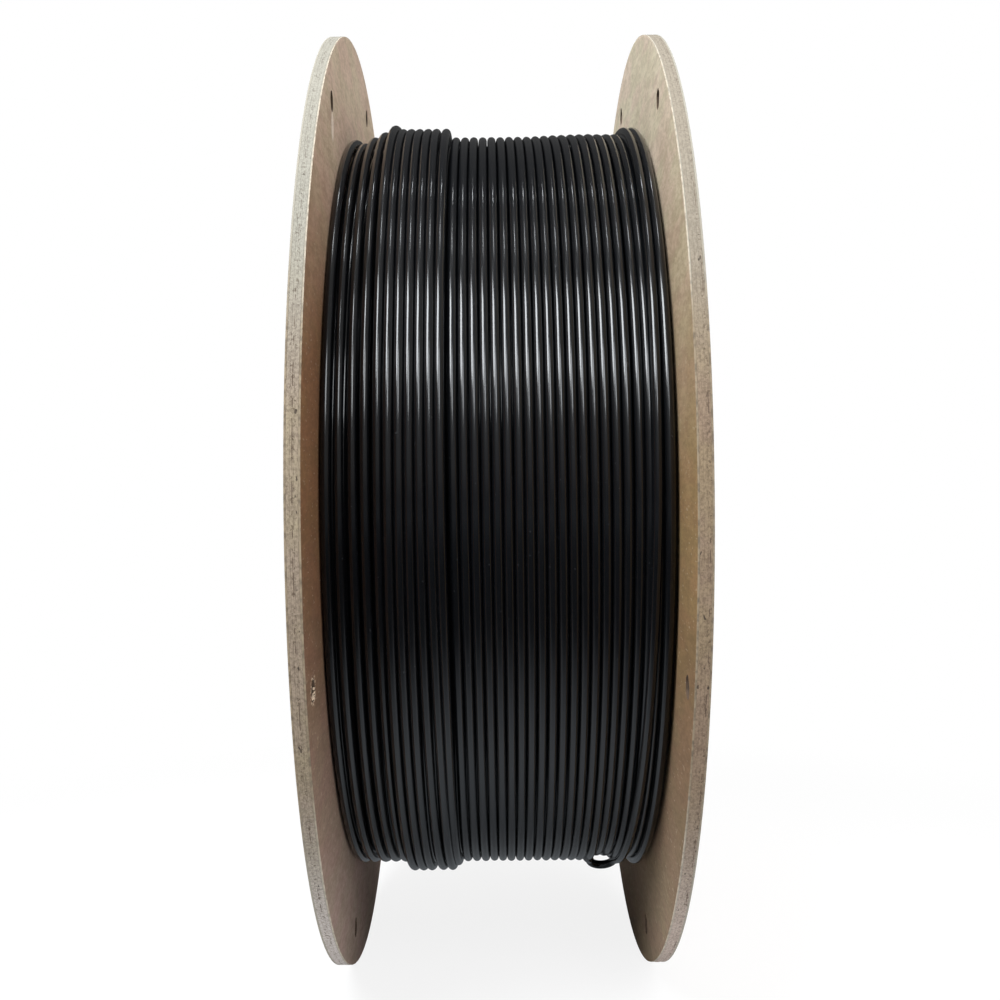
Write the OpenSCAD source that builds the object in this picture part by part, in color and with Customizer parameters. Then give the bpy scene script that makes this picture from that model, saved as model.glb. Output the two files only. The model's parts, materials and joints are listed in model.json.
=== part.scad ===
// Cardboard filament spool, wound with round plastic filament.
//
// The spool's axis lies along X. The origin is on that axis, midway between the flanges.
// Angles round the axis start at the front (-Y) and grow towards the top (+Z).
// Each flange is a laminated board disc: kraft liners outside, three greyboard plies inside.
// A spiral-wound tube joins the flanges, and a board collar inside each end centres it.

/* [Flanges] */
// Diameter of both flanges
flange_d = 200; // [180:1:240]
// Diameter of the hole for the spool holder's spindle
bore_d = 55; // [40:0.5:62]
// Thickness of each kraft liner
liner_t = 0.35; // [0.2:0.05:0.6]
// Thickness of each greyboard ply
ply_t = 0.65; // [0.4:0.05:1]
// Clear width between the flanges
winding_w = 60.9; // [45:0.1:80]

/* [Retaining holes] */
// Diameter of the holes that hold a loose filament end
hole_d = 4; // [3:0.1:6]
// Distance from the rim to the centre of a hole
hole_inset = 7.25; // [5:0.25:9]
// Directions of the holes, in degrees above the front
hole_angles = [-127, -73.5, -18, 55, 101, 159];

/* [Core] */
// How far the flanges and collars reach inwards past the tube's wall
collar_ledge = 8.5; // [5:0.5:12]
// Thickness of the tube's wall between its skins
tube_body_t = 3.2; // [2:0.1:4]
// Thickness of the tube's inner ply and of its outer wrap
tube_skin_t = 0.4; // [0.2:0.05:0.8]
// Thickness of the collar that centres the tube on each flange
collar_t = 2.5; // [1.5:0.1:4]
// Radial clearance between a collar and the tube
collar_clearance = 0.1; // [0.05:0.05:0.3]
// Leg of the glue bead between a collar and the tube
glue_leg = 2; // [1:0.1:3]

/* [Filament] */
// Diameter of the filament
filament_d = 1.75; // [1.6:0.05:3]
// Diameter over the outermost full layer
layer_d = 158.8; // [140:0.2:166]
// Least gap left between neighbouring turns
turn_gap = 0.6; // [0.45:0.05:1.5]
// Space between the first or last turn and the flange beside it
side_gap = 0.45; // [0.4:0.05:1]
// Clearance between the wound turns and the layers under them
seat_clearance = 0.05; // [0.02:0.01:0.2]
// Height of the part layer above the full layer
layer_step = 1.8; // [1.4:0.05:3.2]
// Turn at which the filament starts to climb onto the part layer
rise_turn = 2; // [1:0.25:4]
// Number of turns from there to where it drops back to the full layer
raised_turns = 5.25; // [3:0.25:8]

/* [Free end] */
// Turns that the free end takes to come back over the full layer
tail_turns = 1.1; // [0.8:0.05:1.3]
// Height of the free end above the full layer
tail_step = 2.3; // [2.2:0.05:4]
// Distance from the right flange to the near leg of the end's hairpin
loop_inset = 6; // [4:0.25:12]
// Distance between the two legs of the hairpin
loop_w = 5.5; // [5:0.5:12]
// Height that the hairpin springs out from the layer
loop_flare = 1.2; // [0:0.1:3]
// Length of the hairpin's far leg
loop_leg = 8; // [4:0.5:20]
// Direction that the hairpin points, in degrees above the front
loop_angle = -78; // [-100:1:-40]

/* [Inner end] */
// Distance from the left flange to the hole that anchors the filament's inner end
anchor_inset = 9; // [8:0.25:20]
// Radial clearance between the filament and its anchor hole
anchor_clearance = 0.15; // [0.1:0.05:0.5]
// Bend radius of the inner end inside the tube
anchor_bend = 2.5; // [2:0.1:4]
// Straight length of the inner end inside the tube
anchor_tail = 12; // [4:0.5:20]

/* [Hidden] */

LEFT = -1;
RIGHT = 1;
kraft = [0.72, 0.56, 0.38];
greyboard = [0.58, 0.53, 0.47];
glue = [0.9, 0.87, 0.76];
black_plastic = [0.06, 0.06, 0.065];
$fn = 72;
small_fn = 16;
past_face = 1;                    // how far a cut runs past the face it leaves

// Flange layers, measured inwards from the outer face
flange_t = 2 * liner_t + 3 * ply_t;
outer_ply_at = liner_t;
middle_ply_at = outer_ply_at + ply_t;
inner_ply_at = middle_ply_at + ply_t;
inner_liner_at = inner_ply_at + ply_t;
spool_w = winding_w + 2 * flange_t;
hole_r = flange_d / 2 - hole_inset;

// Core tube
tube_inner_r = bore_d / 2 + collar_ledge;
body_inner_r = tube_inner_r + tube_skin_t;
body_outer_r = body_inner_r + tube_body_t;
tube_r = body_outer_r + tube_skin_t;
collar_r = tube_inner_r - collar_clearance;

// Inner end of the filament, anchored at the back
anchor_x = -winding_w / 2 + anchor_inset;
anchor_angle = 180;
anchor_hole_r = filament_d / 2 + anchor_clearance;
anchor_turn_r = tube_inner_r - past_face;

// Winding: rings along the tube, and the radius of its centre line
max_turns = 24;
rings_per_turn = 24;
tube_sides = 6;
filament_r = filament_d / 2;
turn_r = layer_d / 2 - filament_r;
travel = winding_w - 2 * side_gap - filament_d;
fitting_turns = floor(travel / (filament_d + turn_gap) + tail_turns);
turns = min(max_turns, fitting_turns);
flat_turns = turns - tail_turns;
pitch = travel / flat_turns;
ramp_turns = 0.5;
fall_turn = rise_turn + raised_turns;
first_turn_x = -travel / 2;
near_leg_x = winding_w / 2 - loop_inset;
tail_shift = travel / 2 - near_leg_x;
tail_r = turn_r + tail_step;
start_angle = loop_angle;

// Where the filament comes up from the layers below
dive_bend = filament_d * 0.7;
dive_run = filament_d;
dive_steps = 4;
dive_x = first_turn_x;
dive_floor_r = turn_r - dive_bend - dive_run;

// Inner layers: the radius that carries turns at a given centre line
function seat_r(centre_r) = centre_r * cos(180 / rings_per_turn) - filament_r - seat_clearance;
layers_r = seat_r(turn_r);
raised_layers_r = seat_r(turn_r + layer_step);
ramp_middle = ramp_turns / 2;
raised_from_x = turn_x(rise_turn + ramp_middle) + filament_r + 2 * seat_clearance;
raised_to_x = turn_x(fall_turn + ramp_middle) - filament_r - 2 * seat_clearance;

// ---- Route of the outer turns -------------------------------------------------------------

function unit(v) = v / norm(v);
function radial(angle) = [0, -cos(angle), sin(angle)];
function onward(angle) = [0, -sin(angle), -cos(angle)];
function eased(u) = let (v = max(0, min(1, u))) v * v * (3 - 2 * v);

// Place along the axis, height above the full layer and angle after t turns
function tail_share(t) = eased((t - flat_turns - ramp_middle) / (tail_turns - ramp_turns));
function turn_x(t) = t < flat_turns ? first_turn_x + pitch * t : travel / 2 - tail_shift * tail_share(t);
function part_layer(t) = eased((t - rise_turn) / ramp_turns) - eased((t - fall_turn) / ramp_turns);
function free_end(t) = eased((t - flat_turns + ramp_middle) / ramp_turns);
function turn_height(t) = layer_step * part_layer(t) + tail_step * free_end(t);
function turn_angle(t) = start_angle - 360 * t;

// A station on the route is its centre point and the direction that faces outwards there
function on_layer(x, r, angle) = [[x, 0, 0] + r * radial(angle), radial(angle)];

function dive_station(bend) = [
    [dive_x, 0, 0] + (turn_r - dive_bend + dive_bend * sin(bend)) * radial(start_angle)
        - dive_bend * cos(bend) * onward(start_angle),
    sin(bend) * radial(start_angle) - cos(bend) * onward(start_angle)];

dive_end = [dive_station(0)[0] - dive_run * radial(start_angle), dive_station(0)[1]];
dive = [for (step = [0 : dive_steps - 1]) dive_station(90 * step / dive_steps)];

// The turns stop a filament's width short of the hairpin
loop_r = loop_w / 2;
degrees_per_mm = 360 / (2 * PI * tail_r);
loop_reach = (loop_r + filament_d) * degrees_per_mm;
wound_rings = floor((turns - loop_reach / 360) * rings_per_turn);
wound = [for (ring = [0 : wound_rings])
    let (t = ring / rings_per_turn) on_layer(turn_x(t), turn_r + turn_height(t), turn_angle(t))];

// The hairpin turns back over half a circle, and springs outwards as it does
loop_steps = 10;
loop_centre_angle = loop_angle + loop_r * degrees_per_mm;
hairpin = [for (step = [0 : loop_steps])
    let (bend = 180 * step / loop_steps)
    on_layer(near_leg_x - loop_r * (1 - cos(bend)), tail_r + loop_flare * sin(bend),
        loop_centre_angle - loop_r * sin(bend) * degrees_per_mm)];
far_leg = on_layer(near_leg_x - loop_w, tail_r, loop_centre_angle + loop_leg * degrees_per_mm);

route = concat([dive_end], dive, wound, hairpin, [far_leg]);

// ---- A tube along a route -----------------------------------------------------------------

function heading(route, i) =
    unit(route[min(i + 1, len(route) - 1)][0] - route[max(i - 1, 0)][0]);

function ring_points(station, ahead) =
    let (out = unit(station[1] - (station[1] * ahead) * ahead), side = cross(ahead, out))
    [for (k = [0 : tube_sides - 1])
        let (turn = 360 * k / tube_sides)
        station[0] + filament_r * (cos(turn) * out + sin(turn) * side)];

function side_faces(rings) = [for (i = [0 : rings - 2], k = [0 : tube_sides - 1])
    let (next = (k + 1) % tube_sides, a = i * tube_sides, b = a + tube_sides)
    each [[a + k, b + k, b + next], [a + k, b + next, a + next]]];

function cap_faces(first, flip) = [for (k = [1 : tube_sides - 2])
    flip ? [first, first + k + 1, first + k] : [first, first + k, first + k + 1]];

module tube(route) {
    rings = len(route);
    points = [for (i = [0 : rings - 1]) each ring_points(route[i], heading(route, i))];
    last_ring = (rings - 1) * tube_sides;
    faces = concat(side_faces(rings), cap_faces(0, false), cap_faces(last_ring, true));
    polyhedron(points = points, faces = faces, convexity = 10);
}

// Least gap between stretches of a route at least half a turn apart, on points between rings
samples_per_ring = 4;
function point_at(route, u) =
    let (i = min(floor(u), len(route) - 2)) route[i][0] + (u - i) * (route[i + 1][0] - route[i][0]);
function least_gap(route) =
    let (points = [for (u = [0 : 1 / samples_per_ring : len(route) - 1]) point_at(route, u)],
        half_turn = samples_per_ring * rings_per_turn / 2)
    min([for (i = [0 : len(points) - half_turn - 1])
        min([for (j = [i + half_turn : min(i + 7 * half_turn, len(points) - 1)])
            norm(points[i] - points[j])])]) - filament_d;

// ---- Flanges ------------------------------------------------------------------------------

// Puts a shape that stands on the XY plane on the axis, reaching from x towards +X
module along_axis(x) {
    translate([x, 0, 0]) rotate([0, 90, 0]) children();
}

module at_angle(angle) {
    rotate([-angle, 0, 0]) children();
}

module ring(x, length, outer_r, inner_r) {
    difference() {
        along_axis(x) cylinder(r = outer_r, h = length);
        along_axis(x - past_face) cylinder(r = inner_r, h = length + 2 * past_face);
    }
}

module retaining_holes() {
    for (angle = hole_angles)
        at_angle(angle)
            translate([0, -hole_r, 0])
                along_axis(-spool_w / 2 - past_face)
                    cylinder(d = hole_d, h = spool_w + 2 * past_face, $fn = small_fn);
}

// One layer of a flange, its outer side inset from the flange's outer face
module flange_layer(side, inset, thickness) {
    outer_x = side * (spool_w / 2 - inset);
    low_x = side == LEFT ? outer_x : outer_x - thickness;
    difference() {
        ring(low_x, thickness, flange_d / 2, bore_d / 2);
        retaining_holes();
    }
}

module left_outer_liner() {
    color(kraft) flange_layer(LEFT, 0, liner_t);
}

module left_outer_ply() {
    color(greyboard) flange_layer(LEFT, outer_ply_at, ply_t);
}

module left_middle_ply() {
    color(greyboard) flange_layer(LEFT, middle_ply_at, ply_t);
}

module left_inner_ply() {
    color(greyboard) flange_layer(LEFT, inner_ply_at, ply_t);
}

module left_inner_liner() {
    color(kraft) flange_layer(LEFT, inner_liner_at, liner_t);
}

module right_inner_liner() {
    color(kraft) flange_layer(RIGHT, inner_liner_at, liner_t);
}

module right_inner_ply() {
    color(greyboard) flange_layer(RIGHT, inner_ply_at, ply_t);
}

module right_middle_ply() {
    color(greyboard) flange_layer(RIGHT, middle_ply_at, ply_t);
}

module right_outer_ply() {
    color(greyboard) flange_layer(RIGHT, outer_ply_at, ply_t);
}

module right_outer_liner() {
    color(kraft) flange_layer(RIGHT, 0, liner_t);
}

// ---- Core ---------------------------------------------------------------------------------

module anchor_hole() {
    at_angle(anchor_angle)
        translate([anchor_x, -tube_inner_r + past_face, 0])
            rotate([90, 0, 0])
                cylinder(r = anchor_hole_r, h = tube_r - tube_inner_r + 2 * past_face, $fn = small_fn);
}

module tube_layer(outer_r, inner_r) {
    difference() {
        ring(-winding_w / 2, winding_w, outer_r, inner_r);
        anchor_hole();
    }
}

module core_inner_ply() {
    color(greyboard) tube_layer(body_inner_r, tube_inner_r);
}

module core_body() {
    color(greyboard) tube_layer(body_outer_r, body_inner_r);
}

module core_outer_wrap() {
    color(kraft) tube_layer(tube_r, body_outer_r);
}

module collar(side) {
    low_x = side == LEFT ? -winding_w / 2 : winding_w / 2 - collar_t;
    color(greyboard) ring(low_x, collar_t, collar_r, bore_d / 2);
}

module left_collar() {
    collar(LEFT);
}

module right_collar() {
    collar(RIGHT);
}

// A fillet of glue in the corner between a collar and the tube's wall
module glue_bead() {
    corner = [tube_inner_r, winding_w / 2 - collar_t];
    color(glue)
        rotate([0, 90, 0])
            rotate_extrude()
                polygon([corner, corner - [0, glue_leg], corner - [glue_leg, 0]]);
}

module left_glue_bead() {
    mirror([1, 0, 0]) glue_bead();
}

module right_glue_bead() {
    glue_bead();
}

// ---- Filament -----------------------------------------------------------------------------

// The inner end: through the tube's wall, round a bend, then straight along the axis
module filament_inner_end() {
    outer_r = tube_r;
    color(black_plastic)
        at_angle(anchor_angle)
            union() {
                translate([anchor_x, -anchor_turn_r, 0])
                    rotate([90, 0, 0])
                        cylinder(r = filament_r, h = outer_r - anchor_turn_r, $fn = small_fn);
                translate([anchor_x + anchor_bend, -anchor_turn_r, 0])
                    rotate_extrude(angle = 90, start = 90, $fn = small_fn)
                        translate([anchor_bend, 0])
                            circle(r = filament_r, $fn = small_fn);
                translate([0, -anchor_turn_r + anchor_bend, 0])
                    along_axis(anchor_x + anchor_bend)
                        cylinder(r = filament_r, h = anchor_tail, $fn = small_fn);
            }
}

// The well in the inner layers where the outer turns come up
module dive_well() {
    well_r = filament_r + 2 * seat_clearance;
    foot = dive_end[0] - seat_clearance * radial(start_angle);
    translate(foot)
        at_angle(start_angle)
            rotate([90, 0, 0])
                cylinder(r = well_r, h = dive_run + dive_bend + past_face, $fn = small_fn);
}

module filament_inner_layers() {
    side = winding_w / 2 - seat_clearance;
    inner_r = tube_r + seat_clearance;
    color(black_plastic)
        difference() {
            union() {
                ring(-side, 2 * side, layers_r, inner_r);
                ring(raised_from_x, raised_to_x - raised_from_x, raised_layers_r, inner_r);
            }
            dive_well();
        }
}

module filament_outer_turns() {
    echo(least_gap_of_outer_turns_mm = least_gap(route));
    color(black_plastic) tube(route);
}

// ---- Nodes --------------------------------------------------------------------------------

left_outer_liner();
left_outer_ply();
left_middle_ply();
left_inner_ply();
left_inner_liner();
right_inner_liner();
right_inner_ply();
right_middle_ply();
right_outer_ply();
right_outer_liner();
core_inner_ply();
core_body();
core_outer_wrap();
left_collar();
right_collar();
left_glue_bead();
right_glue_bead();
filament_inner_end();
filament_inner_layers();
filament_outer_turns();
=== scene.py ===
"""Looks of the cardboard filament spool: laminated board flanges, paper core and wound filament.

The spool's axis lies along X, with the origin midway between the flanges, -Y in front and +Z up.
An angle round the axis is measured from the front (-Y) and grows towards the top (+Z).
"""

import json
import math

import bpy
from mathutils import Matrix, Vector, noise


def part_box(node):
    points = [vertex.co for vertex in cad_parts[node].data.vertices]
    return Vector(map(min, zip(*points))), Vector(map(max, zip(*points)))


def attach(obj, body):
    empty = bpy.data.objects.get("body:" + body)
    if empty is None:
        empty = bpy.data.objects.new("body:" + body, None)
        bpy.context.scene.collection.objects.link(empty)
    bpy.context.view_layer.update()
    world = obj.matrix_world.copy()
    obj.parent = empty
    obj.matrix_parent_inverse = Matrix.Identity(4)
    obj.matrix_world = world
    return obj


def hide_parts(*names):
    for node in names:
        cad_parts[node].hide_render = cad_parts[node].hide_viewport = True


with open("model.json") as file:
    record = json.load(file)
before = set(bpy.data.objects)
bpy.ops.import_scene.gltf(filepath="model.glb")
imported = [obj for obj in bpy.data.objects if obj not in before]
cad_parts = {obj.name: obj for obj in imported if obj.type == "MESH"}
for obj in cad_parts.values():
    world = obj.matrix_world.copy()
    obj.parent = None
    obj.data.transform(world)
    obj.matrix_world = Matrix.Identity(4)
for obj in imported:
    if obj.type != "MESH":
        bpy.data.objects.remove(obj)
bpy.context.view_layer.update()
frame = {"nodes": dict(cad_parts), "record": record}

MM = 0.001
FULL_TURN = 2 * math.pi
AXIS = Vector((1, 0, 0))

# ---- Sizes, taken from the frame --------------------------------------------------------------


def span_x(node):
    """Low and high end of a node along the spool's axis."""
    low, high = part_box(node)
    return low.x, high.x


def outer_radius(node):
    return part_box(node)[1].z


HUB = next(m for m in frame["record"]["mounts"] if m["name"] == "hub_bore")
BORE_R = HUB["dims"]["r_mm"] * MM
FLANGE_R = outer_radius("left_outer_liner")
SPOOL_END = span_x("right_outer_liner")[1]
WINDING_END = span_x("right_inner_liner")[0]
TUBE_BODY_IN_R = outer_radius("core_inner_ply")
TUBE_IN_R = TUBE_BODY_IN_R - 0.4 * MM
TUBE_R = outer_radius("core_outer_wrap")

# Retaining holes: distance of their centres from the axis, radius, and angles round the axis
HOLE_AT_R = FLANGE_R - 7.25 * MM
HOLE_R = 2 * MM
HOLE_ANGLES = (-127, -73.5, -18, 55, 101, 159)

FILAMENT_R = 0.875 * MM
LAYER_R = 79.4 * MM - FILAMENT_R       # from the axis to the middle of the outer layer's filament


def radial(angle):
    """Unit vector away from the axis at an angle in degrees."""
    turned = math.radians(angle)
    return Vector((0, -math.cos(turned), math.sin(turned)))


def eased(share):
    clamped = min(1, max(0, share))
    return clamped * clamped * (3 - 2 * clamped)


def bump(at, middle, half_width):
    """1 at the middle, easing to 0 half a width away on either side."""
    return 1 - eased(abs(at - middle) / half_width)


# ---- Camera and light -------------------------------------------------------------------------

SENSOR = 36
LENS = 48.194
CAMERA_AT = Vector((-0.93, -305.07, 7.59)) * MM
CAMERA_YAW = -0.0051
CAMERA_PITCH = -0.0252
CAMERA_ROLL = 0.008


def place_camera():
    data = bpy.data.cameras.new("camera")
    data.lens = LENS
    data.sensor_width = SENSOR
    data.clip_start = 0.01
    camera = bpy.data.objects.new("camera", data)
    turn = Matrix.Rotation(CAMERA_YAW, 4, "Z") @ Matrix.Rotation(CAMERA_PITCH, 4, "X")
    turn = turn @ Matrix.Rotation(CAMERA_ROLL, 4, "Y") @ Matrix.Rotation(math.pi / 2, 4, "X")
    camera.matrix_world = Matrix.Translation(CAMERA_AT) @ turn
    bpy.context.collection.objects.link(camera)
    bpy.context.scene.camera = camera


def softbox(name, azimuth, elevation, distance, width, height, radiance, matt=1):
    """A rectangular lamp that faces the spool, its azimuth measured from the front towards +X.

    The gloss mirrors its radiance. What it lends to matt surfaces is scaled by matt."""
    data = bpy.data.lights.new(name, "AREA")
    data.shape = "RECTANGLE"
    data.size = width
    data.size_y = height
    data.color = (0.92, 0.96, 1)
    data.energy = radiance * math.pi * width * height
    data.diffuse_factor = matt
    lamp = bpy.data.objects.new(name, data)
    side, up = math.radians(azimuth), math.radians(elevation)
    level = math.cos(up)
    away = Vector((math.sin(side) * level, -math.cos(side) * level, math.sin(up)))
    lamp.location = away * distance
    lamp.rotation_mode = "QUATERNION"
    lamp.rotation_quaternion = away.to_track_quat("Z", "Y")
    lamp.visible_camera = False
    bpy.context.collection.objects.link(lamp)


# ---- Shader expressions -----------------------------------------------------------------------


class Wire:
    """A node's output socket. Arithmetic on wires adds Math nodes."""

    def __init__(self, sheet, socket):
        self.sheet = sheet
        self.socket = socket

    def math(self, operation, *values):
        sockets = dict(enumerate(values))
        return self.sheet.node("Math", {"operation": operation}, sockets)

    def __add__(self, other):
        return self.math("ADD", self, other)

    __radd__ = __add__

    def __sub__(self, other):
        return self.math("SUBTRACT", self, other)

    def __rsub__(self, other):
        return self.math("SUBTRACT", other, self)

    def __mul__(self, other):
        return self.math("MULTIPLY", self, other)

    __rmul__ = __mul__

    def __abs__(self):
        return self.math("ABSOLUTE", self)


class Sheet:
    """The node tree of one material, or of the world."""

    def __init__(self, tree):
        self.tree = tree
        tree.nodes.clear()

    def node(self, kind, settings, sockets, output=0):
        """Adds a node: its settings first, then the values or wires of its sockets."""
        made = self.tree.nodes.new("ShaderNode" + kind)
        for name, value in settings.items():
            setattr(made, name, value)
        for key, value in sockets.items():
            if isinstance(value, Wire):
                self.tree.links.new(value.socket, made.inputs[key])
            else:
                made.inputs[key].default_value = value
        return Wire(self, made.outputs[output]) if made.outputs else None

    def place(self):
        return self.node("TexCoord", {}, {}, "Object")

    def scaled(self, vector, scale):
        return self.node("VectorMath", {"operation": "MULTIPLY"}, {0: vector, 1: scale})

    def part(self, vector, axis):
        return self.node("SeparateXYZ", {}, {0: vector}, axis)

    def radius(self, vector):
        """Distance from the spool's axis."""
        flat = self.scaled(vector, (0, 1, 1))
        return self.node("VectorMath", {"operation": "LENGTH"}, {0: flat}, "Value")

    def near(self, vector, centre, reach):
        """1 round a point of a flange's face, fading to 0 at its reach along Y and Z."""
        away = self.node("VectorMath", {"operation": "SUBTRACT"}, {0: vector, 1: centre})
        away = self.radius(self.scaled(away, (0, 1 / reach[0], 1 / reach[1])))
        return 1 - self.between(away, 0.6, 1)

    def noise(self, vector, scale, detail, rough=0.5):
        sockets = {"Vector": vector, "Scale": scale, "Detail": detail, "Roughness": rough}
        return self.node("TexNoise", {}, sockets)

    def mark(self, name):
        """A value stored on the mesh."""
        return self.node("Attribute", {"attribute_name": name}, {}, "Fac")

    def between(self, value, low, high):
        """0 at low and before it, 1 at high and beyond it, eased between them."""
        settings = {"interpolation_type": "SMOOTHSTEP"}
        return self.node("MapRange", settings, {"Value": value, "From Min": low, "From Max": high})

    def blend(self, factor, first, second):
        """A colour from the first one at factor 0 to the second at factor 1."""
        return self.node("Mix", {"data_type": "RGBA"}, {0: factor, 6: first, 7: second}, 2)

    def tinted(self, colour, tint):
        settings = {"data_type": "RGBA", "blend_type": "MULTIPLY"}
        return self.node("Mix", settings, {0: 1, 6: colour, 7: tint}, 2)

    def relief(self, height, distance, strength):
        sockets = {"Height": height, "Distance": distance, "Strength": strength}
        return self.node("Bump", {}, sockets)

    def surface(self, sockets):
        shader = self.node("BsdfPrincipled", {}, sockets)
        self.finish(shader)

    def finish(self, shader):
        self.node("OutputMaterial", {}, {"Surface": shader})


def new_material(name):
    material = bpy.data.materials.new(name)
    material.use_nodes = True
    return material, Sheet(material.node_tree)


def shade(red, green, blue):
    return (red, green, blue, 1)


WHITE = shade(1, 1, 1)

# ---- Finishes ---------------------------------------------------------------------------------

FIBRE_STRETCH = (1, 0.25, 1)           # fibres lie mostly along one direction of the sheet
CUT_EDGE = 0.2 * MM                    # depth over which a cut edge shows its own colour
SHADED_HOLE_WALLS = "punched"                    # marks the walls of the holes, which get painted shade

# Painted light and shade on the paper towards the filament: its shades at mid height, darkest
# where the winding shades it, then at the top and at the bottom, paler where light falls, each on
# the left and on the right flange, which the light reaches differently
INNER_FACE_PAINTED_SHADING = (
    ((0.255, 0.125, 0.053), (0.3, 0.19, 0.083)),
    ((0.7, 0.565, 0.45), (0.76, 0.67, 0.54)),
    ((0.42, 0.315, 0.27), (0.285, 0.205, 0.135)),
)

# The left flange's worn places and their reach along Y and Z: the paper torn in one hole, and the
# mark that a held filament end has rubbed under another
TORN_AT = radial(-18) * HOLE_AT_R
TORN_REACH = (4 * MM, 3.2 * MM)
RUBBED_AT = radial(55) * HOLE_AT_R + Vector((0, 0.8, -4.4)) * MM
RUBBED_REACH = (2.1 * MM, 3.3 * MM)

SPLIT_AT = (31.75 * MM, 32.4 * MM)     # where the left and right rims split, from the middle


def on_right(sheet, place):
    """0 on the left flange, 1 on the right one."""
    return sheet.between(sheet.part(place, "X"), -10 * MM, 10 * MM)


def kraft_paper(sheet, place, plain, dark, hue_strength):
    """Uncoated kraft paper, mottled and fibrous: its colour, and its surface's other sockets."""
    laid = sheet.scaled(place, FIBRE_STRETCH)
    clouds = sheet.noise(place, 45, 4, 0.6)
    mottle = sheet.noise(laid, 600, 3, 0.6)
    fibres = sheet.noise(laid, 2600, 3, 0.6)
    grain = sheet.noise(laid, 1500, 3, 0.7)
    tone = sheet.between(0.15 * clouds + 0.3 * mottle + 0.15 * fibres + 0.4 * grain, 0.4, 0.6)
    tint = sheet.blend(tone, dark, shade(1.02, 1.02, 1.02))
    hue = sheet.between(sheet.noise(laid, 160, 3, 0.6), 0.4, 0.6)
    hue = sheet.blend(hue, shade(1.03, 0.95, 0.93), shade(0.98, 1, 0.9))
    tint = sheet.tinted(tint, sheet.blend(hue_strength, WHITE, hue))
    colour = sheet.tinted(plain, tint)
    specks = sheet.between(sheet.noise(place, 1300, 2, 0.5), 0.62, 0.74)
    colour = sheet.blend(0.35 * specks, colour, shade(0.16, 0.09, 0.045))
    pale_fibres = sheet.between(sheet.noise(laid, 1700, 1), 0.66, 0.74)
    colour = sheet.blend(0.25 * pale_fibres, colour, shade(0.62, 0.52, 0.38))
    height = 0.3 * fibres + 0.4 * grain + 0.3 * mottle
    return colour, {
        "Roughness": 0.78 + 0.14 * mottle,
        "Specular IOR Level": 0.35,
        "Normal": sheet.relief(height, 0.05 * MM, 0.6),
    }


def painted_inner_face(sheet, height, right):
    """Painted light and shade on the paper towards the filament: warm and dark at mid height,
    darker below it, paler at the ends.
    """
    pairs = ([shade(*side) for side in pair] for pair in INNER_FACE_PAINTED_SHADING)
    middle, top, bottom = (sheet.blend(right, *pair) for pair in pairs)
    upper = sheet.between(height, 20 * MM - 25 * MM * right, 100 * MM)
    lower = sheet.between(height, 0, -60 * MM)
    colour = sheet.blend(lower, sheet.blend(upper, middle, top), bottom)
    # painted shade: a darker band below mid height
    painted_shade_band = 1 - sheet.between(abs(height + 38 * MM), 12 * MM, 42 * MM)
    return sheet.tinted(colour, sheet.blend(painted_shade_band, WHITE, shade(0.78, 0.72, 0.65)))


def cut_liner(sheet, place, height):
    """The liner's cut edge, paler at the top and bottom as painted light, palest there on its lip
    by the filament.
    """
    beads = sheet.between(sheet.noise(place, 900, 2), 0.3, 0.6)
    # painted light: the edge pales towards the top and bottom, where more light falls
    high = sheet.between(abs(height + 8 * MM), 32 * MM, 60 * MM)
    from_middle = abs(sheet.part(place, "X"))
    lip = 1 - sheet.between(from_middle, WINDING_END + 0.16 * MM, WINDING_END + 0.24 * MM)
    plain = sheet.blend(beads, shade(0.13, 0.1, 0.068), shade(0.23, 0.18, 0.12))
    plain = sheet.blend(high, plain, shade(0.27, 0.25, 0.205))
    pale = sheet.blend(beads, shade(0.24, 0.205, 0.16), shade(0.4, 0.345, 0.27))
    return sheet.blend(lip * high, plain, pale)


def torn_and_rubbed(sheet, place, colour, left):
    """Adds the worn places to the left flange's inner face."""
    shreds = sheet.between(sheet.noise(sheet.scaled(place, FIBRE_STRETCH), 2200, 2), 0.5, 0.56)
    torn = left * shreds * sheet.near(place, TORN_AT, TORN_REACH)
    rubbed = left * (0.6 + 0.4 * shreds) * sheet.near(place, RUBBED_AT, RUBBED_REACH)
    colour = sheet.blend(0.85 * torn, colour, shade(0.82, 0.64, 0.46))
    return sheet.blend(0.7 * rubbed, colour, shade(0.95, 0.86, 0.74))


def kraft_liner():
    """The paper on a flange's two faces, with painted light and shade on the inner ones, its cut
    edge, and the walls of its holes painted dark as shade.
    """
    material, sheet = new_material("kraft_liner")
    place = sheet.place()
    right = on_right(sheet, place)
    from_middle = abs(sheet.part(place, "X"))
    inside = 1 - sheet.between(from_middle, WINDING_END + 0.2 * MM, WINDING_END + 1.2 * MM)
    height = sheet.part(place, "Z") + 30 * MM * (sheet.noise(place, 45, 4, 0.6) - 0.5)
    # the inner faces get painted light and shade
    plain = sheet.blend(inside, shade(0.47, 0.35, 0.235), painted_inner_face(sheet, height, right))
    dark = shade(0.77, 0.75, 0.72)
    colour, finish = kraft_paper(sheet, place, plain, dark, 0.25 + 0.5 * inside)
    edge = sheet.between(sheet.radius(place), FLANGE_R - CUT_EDGE, FLANGE_R - 0.4 * CUT_EDGE)
    colour = sheet.blend(edge, colour, cut_liner(sheet, place, height))
    # painted shade: the walls of the holes dark
    colour = sheet.blend(sheet.mark(SHADED_HOLE_WALLS), colour, shade(0.085, 0.055, 0.036))
    colour = torn_and_rubbed(sheet, place, colour, inside * (1 - right))
    sheet.surface({"Base Color": colour, **finish})
    return material


def kraft_wrap():
    """The paper round the core tube."""
    material, sheet = new_material("kraft_wrap")
    plain, dark = shade(0.42, 0.3, 0.18), shade(0.72, 0.68, 0.62)
    colour, finish = kraft_paper(sheet, sheet.place(), plain, dark, 0.25)
    sheet.surface({"Base Color": colour, **finish})
    return material


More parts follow.
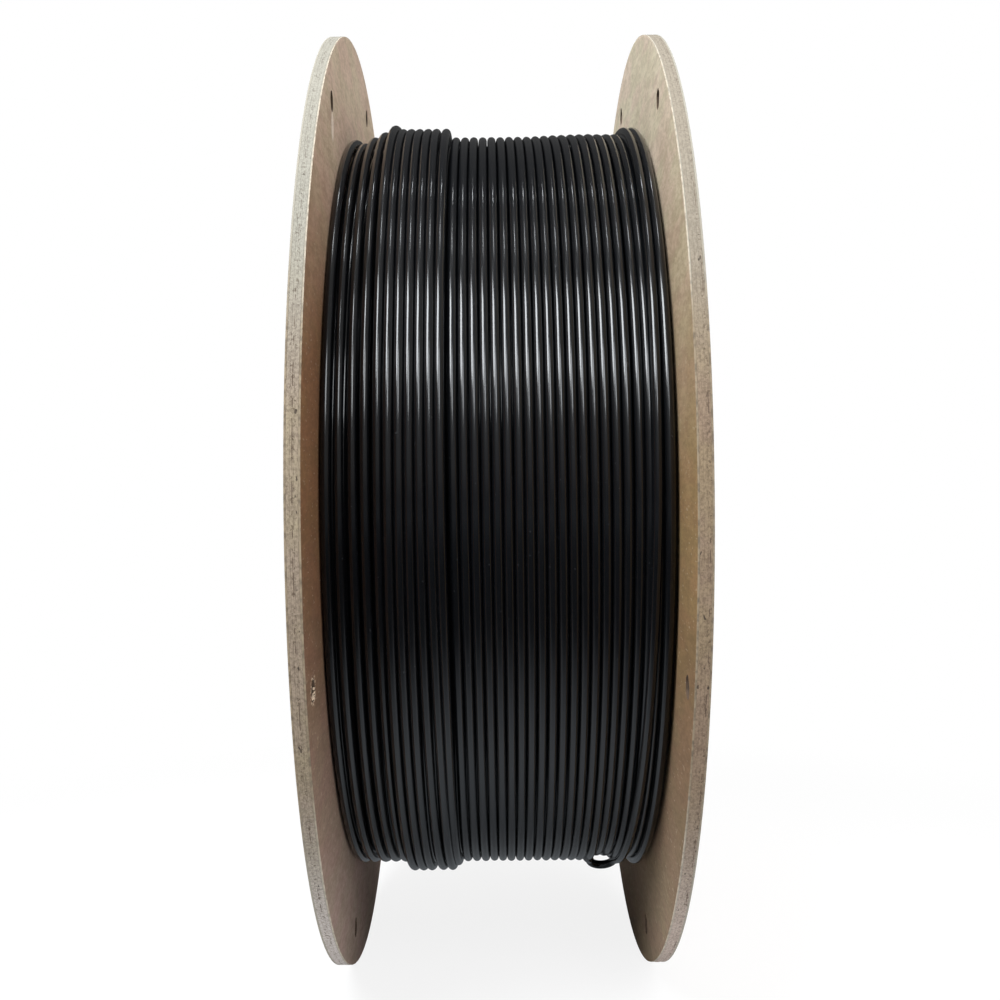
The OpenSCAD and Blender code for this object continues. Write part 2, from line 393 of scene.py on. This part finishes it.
def painted_board_light(sheet, place, up):
    """Painted light: warm at mid height, greyer towards the top and bottom, paler at the very
    bottom where the floor lights it, and a little darker on the right, where less light falls.
    """
    hue = sheet.between(sheet.noise(place, 70, 3, 0.6), 0.42, 0.6)
    warm = sheet.blend(hue, shade(0.86, 0.73, 0.56), shade(0.84, 0.69, 0.58))
    low = sheet.between(up, -30 * MM, -95 * MM)
    # painted light: much paler at the bottom, which the floor lights
    ends = sheet.blend(low, shade(0.87, 0.86, 0.82), shade(1.5, 1.42, 1.5))
    at_end = sheet.between(abs(up + 13 * MM), 25 * MM, 62 * MM)
    # painted shade: the right flange's edge a little darker
    side = sheet.blend(on_right(sheet, place), WHITE, shade(0.9, 0.82, 0.76))
    return sheet.tinted(sheet.blend(at_end, warm, ends), side)


def from_split(sheet, place):
    """Distance from the wavering line along which a rim splits."""
    waver = 0.3 * MM * (sheet.noise(place, 130, 2) - 0.5)
    left_at, right_at = SPLIT_AT
    split_at = left_at + (right_at - left_at) * on_right(sheet, place)
    return abs(abs(sheet.part(place, "X")) + waver - split_at)


def greyboard(name, pale, dark):
    """Recycled board on its cut edge: short fibres, small voids, pits and thin cracks, with
    painted light and shade.
    """
    material, sheet = new_material(name)
    place = sheet.place()
    up = sheet.part(place, "Z")
    # painted light from above: the tone pales towards the top; the voids, pits and cracks also
    # fade there
    towards_top = sheet.between(up, 5 * MM, 70 * MM)
    fibres = sheet.noise(sheet.scaled(place, (1, 0.85, 0.85)), 2500, 3, 0.7)
    patches = sheet.noise(sheet.scaled(place, (1, 0.6, 0.6)), 420, 3, 0.6)
    tone = sheet.between(0.83 * fibres + 0.17 * patches, 0.38, 0.6)
    tone = tone + 0.4 * towards_top * (1 - tone)
    colour = sheet.tinted(sheet.blend(tone, dark, pale), painted_board_light(sheet, place, up))

    split = from_split(sheet, place)
    level = 0.7 - 0.11 * (1 - sheet.between(split, 0.1 * MM, 0.75 * MM))
    voids = sheet.noise(sheet.scaled(place, (1, 0.7, 0.7)), 2100, 2, 0.6)
    voids = sheet.between(voids, level, level + 0.04)
    pits = sheet.between(sheet.noise(sheet.scaled(place, (1, 1, 0.5)), 1200, 1), 0.73, 0.76)
    broken = sheet.between(sheet.noise(place, 70, 2), 0.44, 0.52)
    broken = broken * sheet.between(sheet.noise(place, 480, 2), 0.48, 0.54)
    crack = broken * (1 - sheet.between(split, 0.04 * MM, 0.1 * MM))
    colour = sheet.blend((0.65 - 0.35 * towards_top) * voids, colour, shade(0.07, 0.045, 0.028))
    colour = sheet.blend((0.9 - 0.3 * towards_top) * pits, colour, shade(0.04, 0.028, 0.02))
    colour = sheet.blend((0.85 - 0.5 * towards_top) * crack, colour, shade(0.07, 0.045, 0.03))
    # painted shade: the walls of the holes dark
    colour = sheet.blend(sheet.mark(SHADED_HOLE_WALLS), colour, shade(0.085, 0.06, 0.042))
    height = 0.9 * fibres - 0.6 * voids - 0.6 * pits - 0.8 * crack
    sheet.surface({
        "Base Color": colour,
        "Roughness": 0.82 + 0.12 * fibres,
        "Specular IOR Level": 0.3,
        "Normal": sheet.relief(height, 0.08 * MM, 0.7),
    })
    return material


def tube_paper():
    """Core board: grey-brown, with streaks round the tube and a few dark specks."""
    material, sheet = new_material("tube_paper")
    place = sheet.place()
    streaks = sheet.noise(sheet.scaled(place, (1, 0.2, 0.2)), 900, 3, 0.6)
    mottle = sheet.noise(place, 500, 3, 0.6)
    tone = sheet.between(0.5 * streaks + 0.5 * mottle, 0.36, 0.64)
    specks = sheet.between(sheet.noise(place, 1900, 1, 0.4), 0.69, 0.77)
    colour = sheet.blend(tone, shade(0.24, 0.185, 0.135), shade(0.4, 0.33, 0.25))
    colour = sheet.blend(0.5 * specks, colour, shade(0.1, 0.07, 0.05))
    sheet.surface({
        "Base Color": colour,
        "Roughness": 0.8 + 0.12 * mottle,
        "Specular IOR Level": 0.3,
        "Normal": sheet.relief(streaks, 0.05 * MM, 0.8),
    })
    return material


def dried_glue():
    """White glue, dried to an uneven pale yellow."""
    material, sheet = new_material("dried_glue")
    place = sheet.place()
    clouds = sheet.noise(place, 260, 2)
    colour = sheet.blend(clouds, shade(0.68, 0.58, 0.4), shade(0.8, 0.74, 0.58))
    sheet.surface({
        "Base Color": colour,
        "Roughness": 0.3 + 0.25 * clouds,
        "Normal": sheet.relief(sheet.noise(place, 1400, 2), 0.03 * MM, 0.5),
    })
    return material


def black_filament():
    """Extruded black plastic: deep black and glossy, faintly rippled, with a little dust."""
    material, sheet = new_material("black_filament")
    place = sheet.place()
    haze = sheet.noise(place, 120, 3, 0.6)
    ripple = sheet.noise(place, 420, 2)
    dust = sheet.between(sheet.noise(place, 1600, 1, 0.4), 0.74, 0.8)
    colour = sheet.blend(0.25 * dust, shade(0.003, 0.0033, 0.004), shade(0.055, 0.057, 0.06))
    sheet.surface({
        "Base Color": colour,
        "Roughness": 0.13 + 0.08 * haze,
        "IOR": 1.5,
        "Normal": sheet.relief(ripple, 0.02 * MM, 0.06),
    })
    return material


MATERIALS = {
    "kraft_liner": kraft_liner(),
    "greyboard": greyboard("greyboard", shade(0.305, 0.292, 0.256), shade(0.195, 0.18, 0.156)),
    "tube_paper": tube_paper(),
    "kraft_wrap": kraft_wrap(),
    "collar_board": greyboard("collar_board", shade(0.52, 0.46, 0.37), shade(0.3, 0.25, 0.19)),
    "dried_glue": dried_glue(),
    "black_filament": black_filament(),
}

# ---- Modelling helpers ------------------------------------------------------------------------


def select_none():
    bpy.ops.object.select_all(action="DESELECT")


def only(piece):
    """Selects one object and makes it active."""
    select_none()
    piece.select_set(True)
    bpy.context.view_layer.objects.active = piece


def edit(piece):
    """Enters edit mode with the whole piece selected."""
    only(piece)
    bpy.ops.object.mode_set(mode="EDIT")
    bpy.ops.mesh.select_all(action="SELECT")


def leave_edit():
    bpy.ops.object.mode_set(mode="OBJECT")


def close_up(piece, sharp=35):
    """Merges doubles, turns the normals outwards and shades smoothly up to sharp corners."""
    edit(piece)
    bpy.ops.mesh.remove_doubles(threshold=0.002 * MM)
    bpy.ops.mesh.normals_make_consistent(inside=False)
    leave_edit()
    bpy.ops.object.shade_smooth_by_angle(angle=math.radians(sharp))


def spun(name, outline, corner, steps):
    """A ring: an outline of (x, radius) points, its corners rounded, swept round the axis."""
    select_none()
    bpy.ops.mesh.primitive_circle_add(vertices=len(outline), radius=1)
    piece = bpy.context.object
    piece.name = piece.data.name = name
    for vertex, (x, radius) in zip(piece.data.vertices, outline):
        vertex.co = (x, 0, radius)
    edit(piece)
    bpy.ops.mesh.bevel(offset=corner, segments=2, affect="VERTICES")
    leave_edit()
    sweep = piece.modifiers.new("sweep", "SCREW")
    sweep.axis = "X"
    sweep.steps = sweep.render_steps = steps
    sweep.use_merge_vertices = True
    bpy.ops.object.modifier_apply(modifier=sweep.name)
    close_up(piece)
    return piece


def cut_with(piece, cutter):
    only(piece)
    modifier = piece.modifiers.new("holes", "BOOLEAN")
    modifier.operation = "DIFFERENCE"
    modifier.solver = "EXACT"
    modifier.object = cutter
    bpy.ops.object.modifier_apply(modifier=modifier.name)


def join(pieces, name):
    select_none()
    for piece in pieces:
        piece.select_set(True)
    bpy.context.view_layer.objects.active = pieces[0]
    bpy.ops.object.join()
    joined = bpy.context.object
    joined.name = joined.data.name = name
    return joined


def rough_rim(piece, from_r, amount, seed):
    """Wears the rim of a ring unevenly, always inwards."""
    for vertex in piece.data.vertices:
        x, y, z = vertex.co
        radius = math.hypot(y, z)
        if radius < from_r:
            continue
        near = noise.noise(Vector((x * 900, y * 420, z * 420)) + Vector((seed, 0, 0)))
        wide = noise.noise(Vector((seed, y * 60, z * 60)))
        worn = amount * (0.5 + 0.35 * near + 0.35 * wide)
        factor = (radius - max(0, worn)) / radius
        vertex.co = (x, y * factor, z * factor)


def finished(piece, slot, node):
    """Gives a piece its material, and the place of the node that it replaces."""
    piece.data.materials.clear()
    piece.data.materials.append(MATERIALS[slot])
    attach(piece, "root")
    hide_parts(node)


# ---- Flanges ----------------------------------------------------------------------------------

RIM_STEPS = 1080
SEAM = 0.006 * MM                      # air left between two glued layers
RIM_INSET = 0.01 * MM                  # keeps the rims within the solids
RIM_WEAR = 0.1 * MM
# Corner radius of each layer's rim, in millimetres
LAYERS = {
    "outer_liner": 0.07,
    "outer_ply": 0.03,
    "middle_ply": 0.03,
    "inner_ply": 0.03,
    "inner_liner": 0.05,
}


def hole_cutters(side):
    """Six punched holes, joined as one cutter, each a little out of round."""
    cutters = []
    middle_x = side * (SPOOL_END + WINDING_END) / 2
    for index, angle in enumerate(HOLE_ANGLES):
        select_none()
        bpy.ops.mesh.primitive_cylinder_add(
            vertices=40,
            radius=HOLE_R,
            depth=2 * (SPOOL_END - WINDING_END),
            location=radial(angle) * HOLE_AT_R + AXIS * middle_x,
            rotation=(0, math.pi / 2, 0),
        )
        cutter = bpy.context.object
        for vertex in cutter.data.vertices:
            out = Vector((vertex.co.x, vertex.co.y, 0))
            uneven = noise.noise(out * 900 + Vector((index * 7.3, side * 3.1, 0)))
            vertex.co += out.normalized() * uneven * 0.25 * MM
        cutters.append(cutter)
    joined = join(cutters, "hole_cutters")
    select_none()
    joined.select_set(True)
    bpy.ops.object.transform_apply(location=True, rotation=True, scale=True)
    return joined


def mark_hole_walls(piece):
    """The walls are the faces along the axis that lie well clear of the bore and the rim."""
    walls = piece.data.attributes.new(SHADED_HOLE_WALLS, "FLOAT", "FACE")
    clear = 3 * MM
    for face, wall in zip(piece.data.polygons, walls.data):
        out = math.hypot(face.center.y, face.center.z)
        is_wall = abs(face.normal.x) < 0.5 and BORE_R + clear < out < FLANGE_R - clear
        wall.value = float(is_wall)


def flange_layer(side_name, layer, cutters, seed):
    node = f"{side_name}_{layer}"
    low, high = span_x(node)
    low, high = low + SEAM / 2, high - SEAM / 2
    middle = (low + high) / 2
    rim = FLANGE_R - RIM_INSET
    inner_rim = FLANGE_R - 0.5 * MM
    outline = [
        (low, BORE_R), (low, inner_rim), (low, rim), (middle, rim),
        (high, rim), (high, inner_rim), (high, BORE_R),
    ]
    piece = spun(node + "_board", outline, LAYERS[layer] * MM, RIM_STEPS)
    rough_rim(piece, FLANGE_R - 0.3 * MM, RIM_WEAR, seed)
    cut_with(piece, cutters)
    bpy.ops.object.shade_smooth_by_angle(angle=math.radians(35))
    mark_hole_walls(piece)
    slot = "kraft_liner" if "liner" in layer else "greyboard"
    finished(piece, slot, node)


def build_flanges():
    for side_name, side in (("left", -1), ("right", 1)):
        cutters = hole_cutters(side)
        for number, layer in enumerate(LAYERS):
            flange_layer(side_name, layer, cutters, seed=11.7 * number + 5 * side)
        bpy.data.objects.remove(cutters)


# ---- Core -------------------------------------------------------------------------------------

RING_STEPS = 180
STRIP_ADVANCE = 78 * MM                # the paper strip's advance along the axis in one turn
STRIP_GAP = 0.5 * MM


def spiral_ply():
    """The tube's innermost ply: one paper strip wound in a spiral, its edges nearly touching."""
    turns = 2
    select_none()
    bpy.ops.mesh.primitive_grid_add(x_subdivisions=turns * RING_STEPS, y_subdivisions=12, size=1)
    piece = bpy.context.object
    piece.name = piece.data.name = "core_spiral_ply"
    for vertex in piece.data.vertices:
        turn = vertex.co.x * turns
        strip = vertex.co.y * (STRIP_ADVANCE - STRIP_GAP)
        place = radial(360 * turn) * TUBE_BODY_IN_R
        vertex.co = place + AXIS * (STRIP_ADVANCE * turn + strip)
    for side in (-1, 1):
        edit(piece)
        bpy.ops.mesh.bisect(
            plane_co=AXIS * side * (WINDING_END - 0.01 * MM),
            plane_no=AXIS * side,
            clear_outer=True,
        )
        leave_edit()
    edit(piece)
    bpy.ops.mesh.normals_make_consistent(inside=False)
    leave_edit()
    solid = piece.modifiers.new("paper", "SOLIDIFY")
    solid.thickness = TUBE_BODY_IN_R - TUBE_IN_R
    solid.offset = -1
    bpy.ops.object.modifier_apply(modifier=solid.name)
    bpy.ops.object.shade_smooth_by_angle(angle=math.radians(35))
    finished(piece, "tube_paper", "core_inner_ply")


def collar(side_name):
    """A ring of four plies of board."""
    node = side_name + "_collar"
    low, high = span_x(node)
    outer_r = outer_radius(node)
    plies = 4
    thick = (high - low) / plies
    rings = []
    for ply in range(plies):
        start = low + ply * thick
        end = start + thick
        outline = [(start, BORE_R), (start, outer_r), (end, outer_r), (end, BORE_R)]
        rings.append(spun("ply", outline, 0.06 * MM, 2 * RING_STEPS))
    piece = join(rings, node + "_ring")
    finished(piece, "collar_board", node)


def glue_bead(side_name, side):
    """A bead in the corner between tube and collar, shrunk unevenly as it dried."""
    node = side_name + "_glue_bead"
    low, high = span_x(node)
    foot_x, tip_x = (low, high) if side < 0 else (high, low)
    leg = high - low
    down = 0.44 * leg                  # of a ring of points on the slope, for its unevenness
    outline = [
        (foot_x, TUBE_IN_R), (tip_x, TUBE_IN_R),
        (tip_x + side * down, TUBE_IN_R - down), (foot_x, TUBE_IN_R - leg),
    ]
    piece = spun(node + "_fillet", outline, 0.1 * MM, RING_STEPS)
    for vertex in piece.data.vertices:
        x, y, z = vertex.co
        from_wall, from_foot = TUBE_IN_R - math.hypot(y, z), abs(x - foot_x)
        uneven = 0.5 + 0.5 * noise.noise(Vector((x * 150, y * 150, z * 150)))
        shrink = 1 - 0.45 * uneven
        radius = TUBE_IN_R - from_wall * shrink
        turned = math.atan2(z, y)
        x = foot_x - side * from_foot * shrink
        vertex.co = (x, radius * math.cos(turned), radius * math.sin(turned))
    finished(piece, "dried_glue", node)


# ---- Filament ---------------------------------------------------------------------------------

# The strands' routes are worked out in millimetres and in turns. A whole turn is at the front, a
# quarter more at the bottom, a half at the back and three quarters at the top. Heights are above
# the mean radius of the outer layer.


def strand(name, route, sides):
    """A round tube along a list of points, closed at both ends."""
    data = bpy.data.curves.new(name, "CURVE")
    data.dimensions = "3D"
    data.bevel_depth = FILAMENT_R
    data.bevel_resolution = sides // 2 - 2
    data.use_fill_caps = True
    spline = data.splines.new("POLY")
    spline.points.add(len(route) - 1)
    for point, place in zip(spline.points, route):
        point.co = (*place, 1)
    piece = bpy.data.objects.new(name, data)
    bpy.context.collection.objects.link(piece)
    only(piece)
    bpy.ops.object.convert(target="MESH")
    piece = bpy.context.object
    close_up(piece, sharp=60)
    return piece


RINGS_PER_TURN = 108
SIDE_X = (WINDING_END - FILAMENT_R) / MM - 0.15   # where a turn lies against a flange
START_TURN = -1 + 80 / 360             # the outer layer starts near the bottom, at the left

# Spacing from turn to turn of the outer layer, in the order they were laid: loose turns, the
# raised ones of the part layer, the step down, and the level ones up to the right flange
STEPS = [2.25, 2.45, 2.1, 2.2] + 6 * [1.755] + [2.15] + 16 * [1.862] + [1.98, 1.78, 1.78]
TOP_TURN = len(STEPS) + 1              # the turn that touches the right flange
END_TURN = TOP_TURN + 2 + 76 / 360
RAISED_FROM = 4
RAISED_TO = 10
PART_LAYER_LIFT = 1.8
WAY_BACK_LIFT = 1.85
NEAR_LEG_X = 24.3
HAIRPIN_W = 5.1
LEG_HEIGHT = 0.9
BEND_STEPS = 16
TUCKED_LEG = 18
TUCKED_X = 17.9                        # the groove that the filament's end is tucked into
UNDER_SPACING = 1.87
UNDER_SHIFT = 0.54                     # puts the turns below under the gaps, at the top and bottom


def outer_stops():
    """Turns where the outer layer's spacing changes, and its places along the axis there."""
    stops = [(START_TURN, -SIDE_X), (0, -SIDE_X), (0.5, 1.5 - SIDE_X), (1, STEPS[0] - SIDE_X)]
    for number, step in enumerate(STEPS[1:]):
        stops.append((number + 2, stops[-1][1] + step))
    way_back = [(0, SIDE_X), (0.4, SIDE_X - 0.12), (1, 28.9), (2, 26.95)]
    stops += [(TOP_TURN + turn, place) for turn, place in way_back]
    return stops + [(END_TURN, NEAR_LEG_X)]


OUTER_STOPS = outer_stops()


def along(turn):
    """Place along the axis after a number of turns, straight from stop to stop."""
    for (low, first), (high, second) in zip(OUTER_STOPS, OUTER_STOPS[1:]):
        if turn <= high:
            return first + (second - first) * max(0, turn - low) / (high - low)
    return OUTER_STOPS[-1][1]


def each_turn(turn, middle, half_width):
    """A bump at the same place of every turn."""
    away = abs((turn - middle + 0.5) % 1 - 0.5)
    return bump(away, 0, half_width)


def slid(turn):
    """How far turns have slid along the axis at the bottom, and lean to the left at the top."""
    size = 0.3 * eased(turn - 4.5)
    size += eased((turn - 7.6) / 0.9) * (1 - eased((turn - 9.4) / 1.1))
    size += 0.3 * eased(turn - 9.5) * (1 - eased((turn - 13) / 6))
    size *= 1 - eased((turn - 22) / 9)
    size -= 0.75 * eased((turn - 21) / 9) * (1 - eased((turn - 30.4) / 0.4))
    leant = -0.32 * eased((turn - 4.1) / 0.5) * (1 - eased((turn - 8.9) / 0.8))
    return size * each_turn(turn, 0.23, 0.3) + leant * each_turn(turn, 0.73, 0.25)


def crowded(turn, x):
    """How far the turns push each other aside, alike for neighbours."""
    around = math.radians(360 * turn)
    place = Vector((x * 0.12, 1.3 * math.cos(around), 1.3 * math.sin(around)))
    return 0.1 * noise.noise(place) * (1 - eased((abs(x) - 23) / 5))


def wander(turn, seed, size):
    """A slow unevenness along the filament."""
    return size * noise.noise(Vector((turn * 3.1, seed, seed * 0.37)))


def dip(turn, x):
    """The hollow under the free end's hairpin, and between it and the right flange."""
    inside = 0.9 * eased((x - 19) / 1.1) * (1 - eased((x - 22.2) / 2.4))
    beyond = eased((x - 25) / 1.8)
    return -inside * each_turn(turn, 0.213, 0.09) - 0.6 * beyond * each_turn(turn, 0.23, 0.2)


def parted(turn, x):
    """How far the turns make way for the tucked end."""
    away = x - TUCKED_X
    return math.copysign(0.1 * (1 - eased(abs(away) / 7)), away) * each_turn(turn, 0.19, 0.08)


def route_x(turn):
    x = (along(turn - 0.08) + 2 * along(turn) + along(turn + 0.08)) / 4 + slid(turn)
    if turn < TOP_TURN:
        x += crowded(turn, x) + parted(turn, x) + wander(turn, 4.2, 0.035)
    return min(SIDE_X + 0.1, max(-SIDE_X - 0.1, x))


LOOSE_TOPS = ((-0.25, -0.4), (0.75, -1.06), (1.75, 0.13), (2.75, 1.2), (3.75, 2.6))


def route_height(turn):
    """Height of the outer layer, its part layer and the way back, after a number of turns."""
    height = 0.24 - 0.11 * math.sin(FULL_TURN * turn)
    # It comes up from the layer below, and the tops of its first turns lie deeper or stand higher
    height -= 1.75 * (1 - eased((turn + 0.62) / 0.42))
    for middle, lift in LOOSE_TOPS:
        height += lift * bump(turn, middle, 0.42)
    # The part layer
    on_top = eased((turn - RAISED_FROM - 0.3) / 0.3) - eased((turn - RAISED_TO) / 0.38)
    height += PART_LAYER_LIFT * on_top
    # The level turns rise at the top, towards the right flange
    crown = 0.5 * eased((turn - RAISED_TO - 7) / 8) * (1 - eased((turn - TOP_TURN) / 0.5))
    height += crown * (0.5 + 0.5 * math.cos(FULL_TURN * (turn + 0.25)))
    # The way back over them, down to the hairpin's height at its end
    back = turn - TOP_TURN
    height += WAY_BACK_LIFT * eased((back - 0.28) / 0.27) * (1 - 0.6 * bump(back, 1.25, 0.3))
    return height - (WAY_BACK_LIFT + 0.13 - LEG_HEIGHT) * eased((back - 2.09) / 0.12)


def outer_route():
    route = []
    rings = int((END_TURN - START_TURN) * RINGS_PER_TURN)
    for ring in range(rings):
        turn = START_TURN + ring / RINGS_PER_TURN
        x = route_x(turn)
        height = route_height(turn) + wander(turn, 9.6, 0.08)
        if turn < TOP_TURN + 0.5:
            height += dip(turn, x)
        route.append(radial(-360 * turn) * (LAYER_R + height * MM) + AXIS * x * MM)
    return route + hairpin()


def hairpin():
    """The free end turns back in a half circle at the bottom and tucks in."""
    half = HAIRPIN_W / 2
    stations = []
    for step in range(1, BEND_STEPS + 1):
        bend = math.pi * step / BEND_STEPS
        across, ahead = half * (1 - math.cos(bend)), half * math.sin(bend)
        stations.append((across, ahead, LEG_HEIGHT + 1.3 * math.sin(bend)))
    tuck_in = NEAR_LEG_X - HAIRPIN_W - TUCKED_X
    for step in range(1, TUCKED_LEG + 1):
        across = HAIRPIN_W + tuck_in * eased(step / 8)
        stations.append((across, -step, LEG_HEIGHT - 2 * eased((step - 1) / 15)))
    degrees_per_mm = math.degrees(MM / LAYER_R)
    points = []
    for across, ahead, height in stations:
        out = radial(-360 * END_TURN - ahead * degrees_per_mm)
        points.append(out * (LAYER_R + height * MM) + AXIS * (NEAR_LEG_X - across) * MM)
    return points


def under_height(turn, x):
    """Height of the layer below over the same range, with the hump that lifts the part layer."""
    hump_from = -19.3 - 3.1 * each_turn(turn, 0.75, 0.3)
    raised = PART_LAYER_LIFT * (eased((x - hump_from) / 0.8) - eased((x + 11.8) / 1.2))
    sunk = (1 - eased((x + 25) / 2)) * each_turn(turn, 0.75, 0.45)
    return raised - 1.4 - 1.1 * max(sunk, 1 - eased((x + 28.6) / 0.8))


def under_route():
    """The layer below, laid from the right flange to the left one."""
    turns = 2 * SIDE_X / UNDER_SPACING
    route = []
    for ring in range(int(turns * RINGS_PER_TURN) + 1):
        done = ring / RINGS_PER_TURN
        x = min(SIDE_X, SIDE_X + UNDER_SHIFT - done * UNDER_SPACING)
        turn = START_TURN - turns + done
        height = under_height(turn, x) + dip(turn, x) + wander(turn, 1.7, 0.08)
        route.append(radial(-360 * turn) * (LAYER_R + height * MM) + AXIS * x * MM)
    return route


def buried_layers():
    """The layers that nothing shows of, as one plain ring."""
    side = WINDING_END - 0.1 * MM
    inner_r, outer_r = TUBE_R + 0.05 * MM, LAYER_R - 3.9 * MM
    outline = [(-side, inner_r), (-side, outer_r), (side, outer_r), (side, inner_r)]
    return spun("buried_layers", outline, 0.5 * MM, RING_STEPS)


def build_winding():
    outer = strand("filament_winding", outer_route(), 16)
    finished(outer, "black_filament", "filament_outer_turns")
    under = strand("under_layer", under_route(), 10)
    under = join([under, buried_layers()], "filament_under_layers")
    finished(under, "black_filament", "filament_inner_layers")


def inner_end():
    """The filament's start: through the tube's wall at the back, round a bend, along the tube."""
    low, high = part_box("filament_inner_end")
    hole_x = low.x + FILAMENT_R
    bend_r = 2.5 * MM
    turn_r = TUBE_IN_R - 1 * MM
    steps = 12                         # round the bend and, a millimetre each, along the tail
    back = radial(180)
    route = [back * (TUBE_R + 0.02 * MM) + AXIS * hole_x]
    for step in range(steps + 1):
        bend = math.pi / 2 * step / steps
        inwards = turn_r - bend_r * math.sin(bend)
        route.append(back * inwards + AXIS * (hole_x + bend_r * (1 - math.cos(bend))))
    for step in range(1, steps + 1):
        springs_back = 0.004 * step * step
        out = back * (turn_r - bend_r + springs_back * MM)
        route.append(out + AXIS * (hole_x + bend_r + step * MM))
    piece = strand("filament_start", route, 16)
    finished(piece, "black_filament", "filament_inner_end")


def build_core():
    spiral_ply()
    for side_name, side in (("left", -1), ("right", 1)):
        collar(side_name)
        glue_bead(side_name, side)
    inner_end()
    kept = {"core_body": "tube_paper", "core_outer_wrap": "kraft_wrap"}
    for node, slot in kept.items():
        piece = frame["nodes"][node]
        piece.data.materials.clear()
        piece.data.materials.append(MATERIALS[slot])


# ---- Stage ------------------------------------------------------------------------------------

FLOOR_W = 12                           # in metres, so that its edge is never seen


def seen_rays(sheet):
    """Masks of the rays that see the background: from the camera, mirrored, and seen through."""
    names = ("Is Camera Ray", "Is Glossy Ray", "Is Transmission Ray")
    return [sheet.node("LightPath", {}, {}, name) for name in names]


def build_floor():
    """White to the camera but for the spool's soft shadow; in the gloss, a painted pool of light
    in front.
    """
    select_none()
    bpy.ops.mesh.primitive_plane_add(size=FLOOR_W, location=(0, 0, -FLANGE_R))
    floor = bpy.context.object
    floor.name = "floor"
    material, sheet = new_material("pale_floor")
    camera, glossy, through = seen_rays(sheet)
    place = sheet.place()
    away = sheet.node("VectorMath", {"operation": "LENGTH"}, {0: place}, "Value")
    far = sheet.between(away, 90 * MM, 240 * MM)
    glow = camera * (0.86 + 0.14 * far) + glossy + through
    near = sheet.between(away, 80 * MM, 300 * MM)
    pale = sheet.blend(near, shade(0.75, 0.74, 0.74), shade(0.25, 0.25, 0.25))
    paint = sheet.node("BsdfDiffuse", {}, {"Color": pale})
    forward = 0 - sheet.part(place, "Y")
    # painted pool of light: in the gloss the floor glows in front of the spool, dim under it and
    # beyond
    lit = 0.2 + 0.8 * sheet.between(forward, 20 * MM, 85 * MM)
    lit = lit * (1 - sheet.between(forward, 60 * MM, 182 * MM))
    distant = sheet.between(forward, 250 * MM, 1400 * MM)
    strength = 1 - glossy * (0.97 - 0.78 * lit - 0.2 * distant)
    colour = sheet.blend(glossy, WHITE, shade(0.86, 0.93, 1))
    white = sheet.node("Emission", {}, {"Color": colour, "Strength": strength})
    sheet.finish(sheet.node("MixShader", {}, {0: glow, 1: paint, 2: white}))
    floor.data.materials.append(material)


AMBIENT = 0.18                         # light from the room, and from its ceiling
CEILING = 1.8


def build_world():
    """White where it is seen behind the spool, a plain dim room for the light."""
    world = bpy.data.worlds.new("studio")
    bpy.context.scene.world = world
    world.use_nodes = True
    sheet = Sheet(world.node_tree)
    camera, glossy, through = seen_rays(sheet)
    direction = sheet.node("TexCoord", {}, {}, "Generated")
    across, forward, up = (sheet.part(direction, axis) for axis in "XYZ")
    behind = sheet.between(forward, -0.05, 0.4)
    above = sheet.between(up, -0.1, 0.2)
    right = sheet.between(across, -0.75, -0.2)
    mirrored = above * (0.1 + 0.24 * right) * (1 - 0.75 * behind)
    room = AMBIENT * (1 + 0.6 * across) + CEILING * sheet.between(up + 0.3 * across, 0.35, 0.95)
    strength = camera + through + glossy * mirrored + room * (1 - camera - glossy - through)
    back = sheet.node("Background", {}, {"Color": WHITE, "Strength": strength})
    sheet.node("OutputWorld", {}, {"Surface": back})


def build_lights():
    softbox("key", -33, 46, 0.8, 0.4, 0.38, 19, 0.1)
    softbox("low", 7, 34, 0.9, 0.3, 0.27, 9, 0.1)
    softbox("top_front", 0, 80, 0.8, 0.05, 0.12, 22)
    softbox("top_right", 40, 74, 0.8, 0.06, 0.07, 4)
    softbox("top_back", -6, 100, 0.8, 0.04, 0.05, 34)


# ---- Assembly ---------------------------------------------------------------------------------

bpy.context.scene.view_settings.view_transform = "Standard"
place_camera()
build_world()
build_lights()
build_floor()
build_flanges()
build_core()
build_winding()
